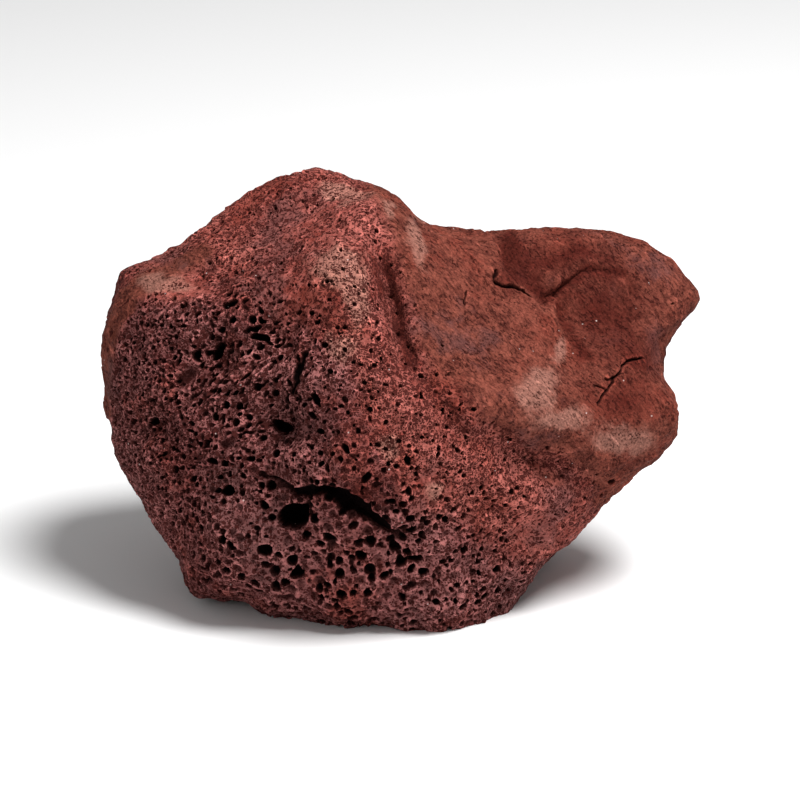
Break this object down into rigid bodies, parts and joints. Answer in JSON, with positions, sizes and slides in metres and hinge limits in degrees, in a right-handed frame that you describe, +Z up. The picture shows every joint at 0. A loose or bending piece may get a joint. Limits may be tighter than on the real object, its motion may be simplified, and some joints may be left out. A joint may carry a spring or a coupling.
{
  "type": "lava rock",
  "caption": "Rough lump of red volcanic scoria with a domed crown, a hollowed wing, coarse burst bubbles and a level underside that it rests on.",
  "frame": {"origin": "centre of the bounding box at the level underside, where the stone meets the surface it rests on", "axes": "+X to the stone's right towards the pointed wing, -Y to its front, the side with the coarse bubbles, +Z up"},
  "size_m": [0.1787, 0.1243, 0.1213],
  "materials": {
    "red_scoria": "rough, dusty and full of open bubbles, brick red on the weathered side and dark purple-brown on the broken side"
  },
  "bodies": {
    "root": {"lava_rock": "red_scoria"}
  },
  "joints": []
}
